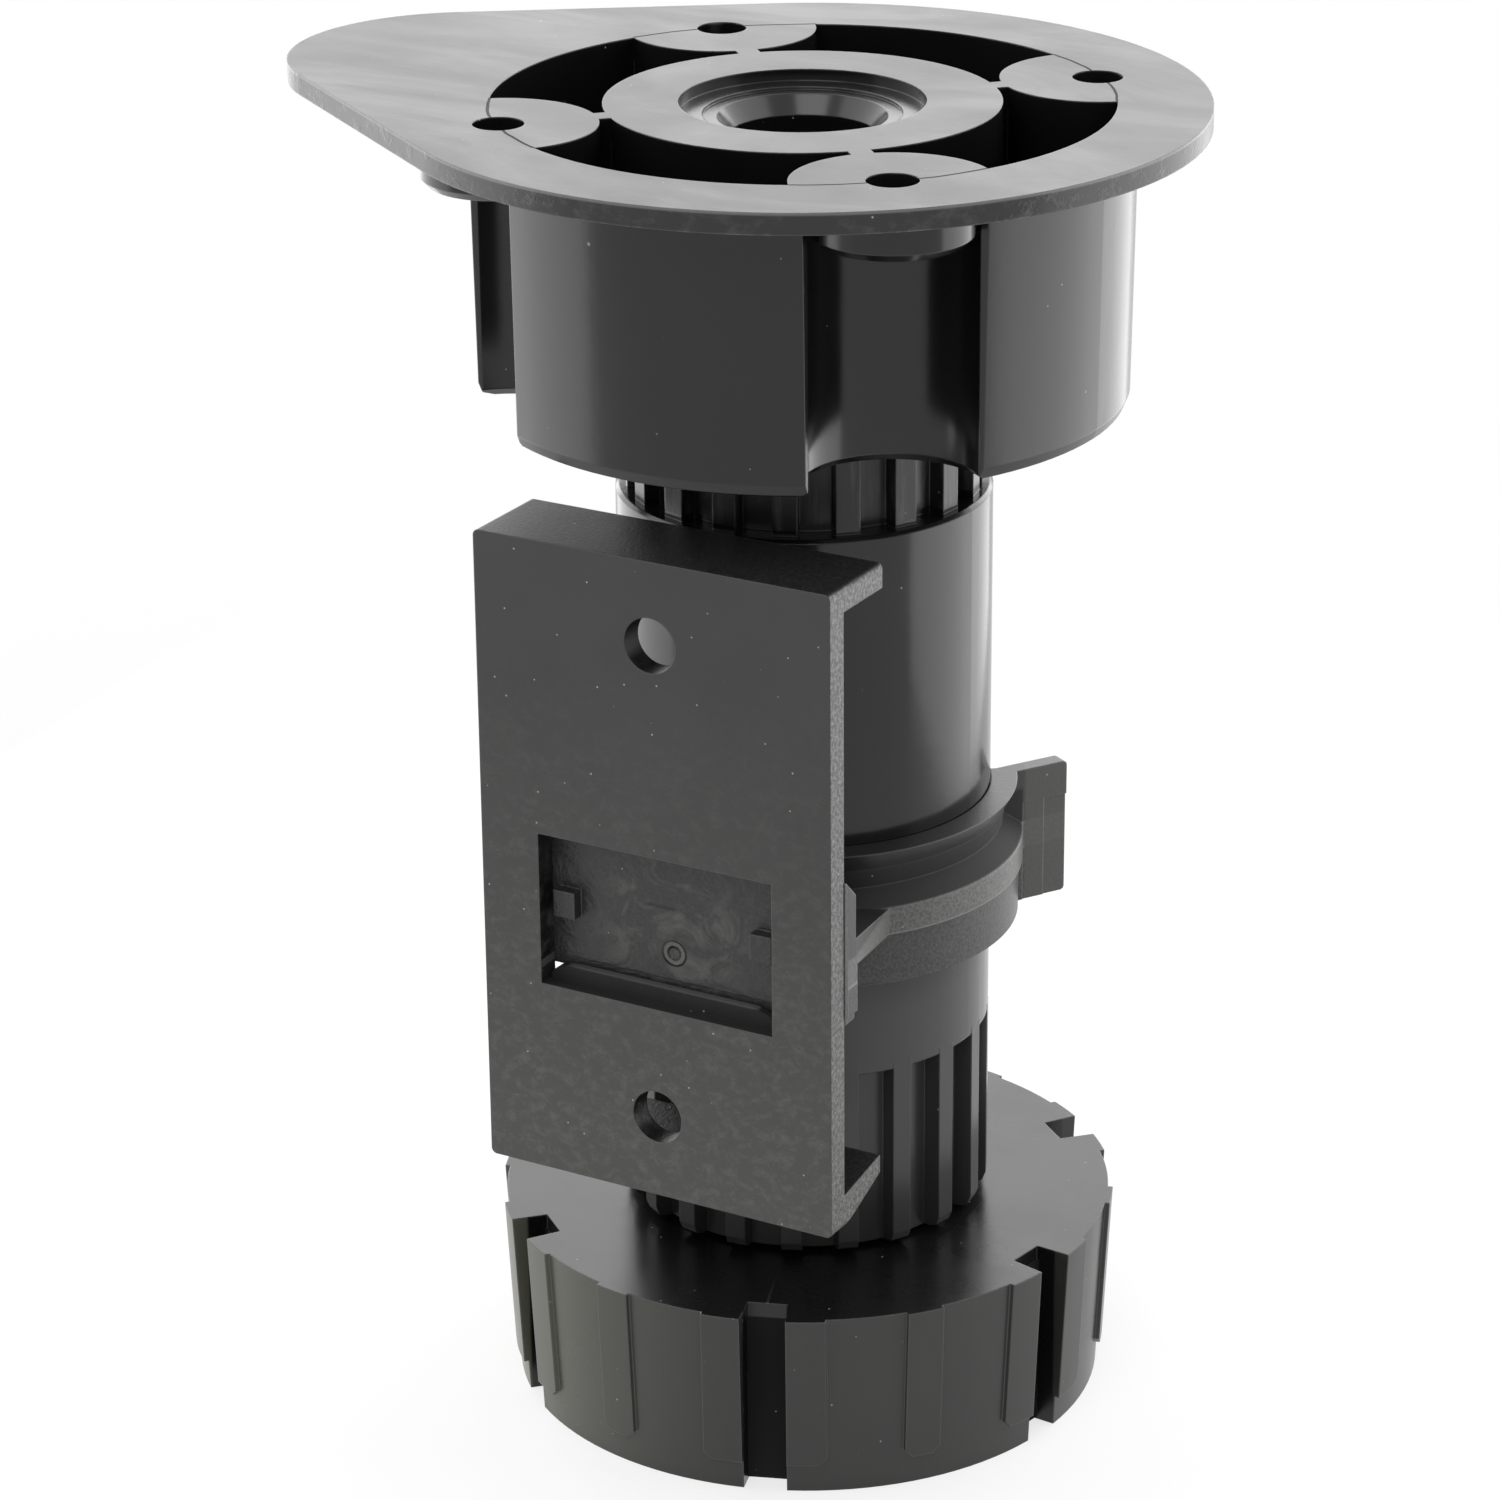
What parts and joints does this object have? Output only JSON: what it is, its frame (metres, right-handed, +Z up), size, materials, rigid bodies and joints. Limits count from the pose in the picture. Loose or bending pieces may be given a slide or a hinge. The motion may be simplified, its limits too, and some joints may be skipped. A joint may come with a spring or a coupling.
{
  "type": "adjustable cabinet leg",
  "caption": "Adjustable moulded cabinet leg: lobed screw-on socket above a round tube, height-adjusting slotted foot, and a clip on the tube that carries a plinth bracket.",
  "frame": {"origin": "centre of the foot's sole, on the leg's axis", "axes": "+Z up along the leg's axis, -Y out through the front of the plinth bracket's plate, -X towards the flange's lobe"},
  "size_m": [0.0959, 0.079, 0.1358],
  "materials": {
    "socket_plastic": "satin black moulded plastic",
    "leg_plastic": "smooth satin black moulded plastic",
    "foot_plastic": "satin black moulded plastic",
    "clip_plastic": "fine-grained black moulded plastic",
    "bracket_plastic": "fine-grained black moulded plastic, slightly dusty"
  },
  "bodies": {
    "leg": {"leg_body": "leg_plastic", "mounting_socket": "socket_plastic"},
    "foot": {"foot": "foot_plastic"},
    "clip": {"plinth_clip": "clip_plastic", "plinth_bracket": "bracket_plastic"}
  },
  "joints": [
    {"name": "foot_height", "type": "slide", "parent": "leg", "child": "foot", "axis": [0, 0, -1], "range_m": [0, 0.028]},
    {"name": "clip_turn", "type": "hinge", "parent": "leg", "child": "clip", "pos_m": [0, 0, 0.0585], "axis": [0, 0, 1], "continuous": true}
  ]
}
